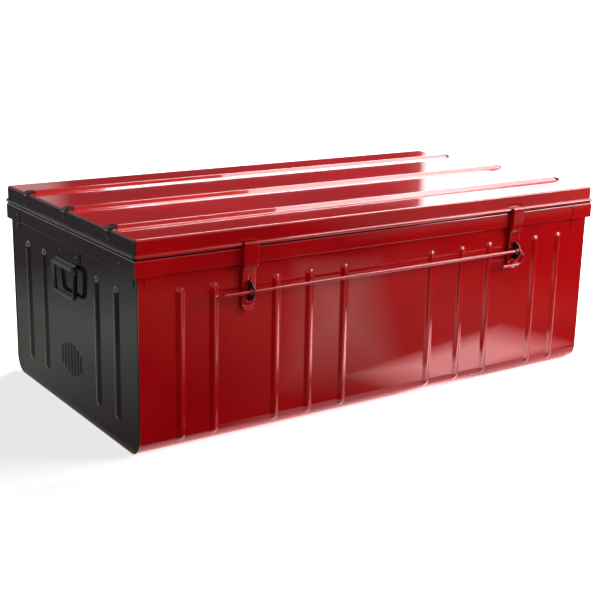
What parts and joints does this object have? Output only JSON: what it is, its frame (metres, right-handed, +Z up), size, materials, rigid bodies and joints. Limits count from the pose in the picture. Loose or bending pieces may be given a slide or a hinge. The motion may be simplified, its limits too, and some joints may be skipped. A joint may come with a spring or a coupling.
{
  "type": "steel storage trunk",
  "caption": "Rectangular sheet-steel trunk with pressed ribs, rolled-edge hinged lid, hasps over staples, a lock rod and end bail handles.",
  "frame": {"origin": "middle of the body's underside", "axes": "+X along the trunk to its right end, -Y to the front with the hasps, +Z up"},
  "size_m": [1.0084, 0.5636, 0.364],
  "materials": {
    "red_enamel": "high gloss enamel",
    "dark_enamel": "high gloss enamel, very dark",
    "black_steel": "satin black",
    "zinc_steel": "zinc plated"
  },
  "bodies": {
    "chest": {"body_wrap": "red_enamel", "rim_rail_front": "red_enamel", "rim_rail_back": "red_enamel", "rim_rail_left": "dark_enamel", "rim_rail_right": "dark_enamel", "end_panel_left": "dark_enamel", "staple_left": "black_steel", "handle_bracket_left": "dark_enamel", "hinge_leaf_left": "red_enamel", "corner_clip_front_left": "red_enamel", "corner_rivet_front_left_upper": "dark_enamel", "corner_rivet_front_left_lower": "dark_enamel", "handle_rivet_left_front": "dark_enamel", "corner_clip_back_left": "red_enamel", "corner_rivet_back_left_upper": "dark_enamel", "corner_rivet_back_left_lower": "dark_enamel", "handle_rivet_left_back": "dark_enamel", "staple_rivet_left_upper": "zinc_steel", "staple_rivet_left_lower": "zinc_steel", "hinge_rivet_left_inner": "red_enamel", "hinge_rivet_left_outer": "red_enamel", "end_panel_right": "dark_enamel", "staple_right": "black_steel", "handle_bracket_right": "dark_enamel", "hinge_leaf_right": "red_enamel", "corner_clip_front_right": "red_enamel", "corner_rivet_front_right_upper": "dark_enamel", "corner_rivet_front_right_lower": "dark_enamel", "handle_rivet_right_front": "dark_enamel", "corner_clip_back_right": "red_enamel", "corner_rivet_back_right_upper": "dark_enamel", "corner_rivet_back_right_lower": "dark_enamel", "handle_rivet_right_back": "dark_enamel", "staple_rivet_right_upper": "zinc_steel", "staple_rivet_right_lower": "zinc_steel", "hinge_rivet_right_inner": "red_enamel", "hinge_rivet_right_outer": "red_enamel"},
    "lid": {"lid_pan": "red_enamel", "lid_rim_wire": "zinc_steel"},
    "hasp_left": {"hasp_left": "red_enamel"},
    "hasp_right": {"hasp_right": "red_enamel"},
    "lock_rod": {"lock_rod": "red_enamel"},
    "handle_left": {"handle_bail_left": "dark_enamel"},
    "handle_right": {"handle_bail_right": "dark_enamel"}
  },
  "joints": [
    {"name": "lid_hinge", "type": "hinge", "parent": "chest", "child": "lid", "pos_m": [0, 0.26505, 0.331], "axis": [-1, 0, 0], "range_deg": [0, 105]},
    {"name": "hasp_left_hinge", "type": "hinge", "parent": "lid", "child": "hasp_left", "pos_m": [-0.2935, -0.26505, 0.331], "axis": [-1, 0, 0], "range_deg": [0, 4]},
    {"name": "hasp_right_hinge", "type": "hinge", "parent": "lid", "child": "hasp_right", "pos_m": [0.2935, -0.26505, 0.331], "axis": [-1, 0, 0], "range_deg": [0, 4]},
    {"name": "rod_slide", "type": "slide", "parent": "chest", "child": "lock_rod", "axis": [1, 0, 0], "range_m": [0, 0.68]},
    {"name": "handle_left_swing", "type": "hinge", "parent": "chest", "child": "handle_left", "pos_m": [-0.499, 0, 0.262], "axis": [0, 1, 0], "range_deg": [-4, 95]},
    {"name": "handle_right_swing", "type": "hinge", "parent": "chest", "child": "handle_right", "pos_m": [0.499, 0, 0.262], "axis": [0, -1, 0], "range_deg": [-4, 95]}
  ]
}
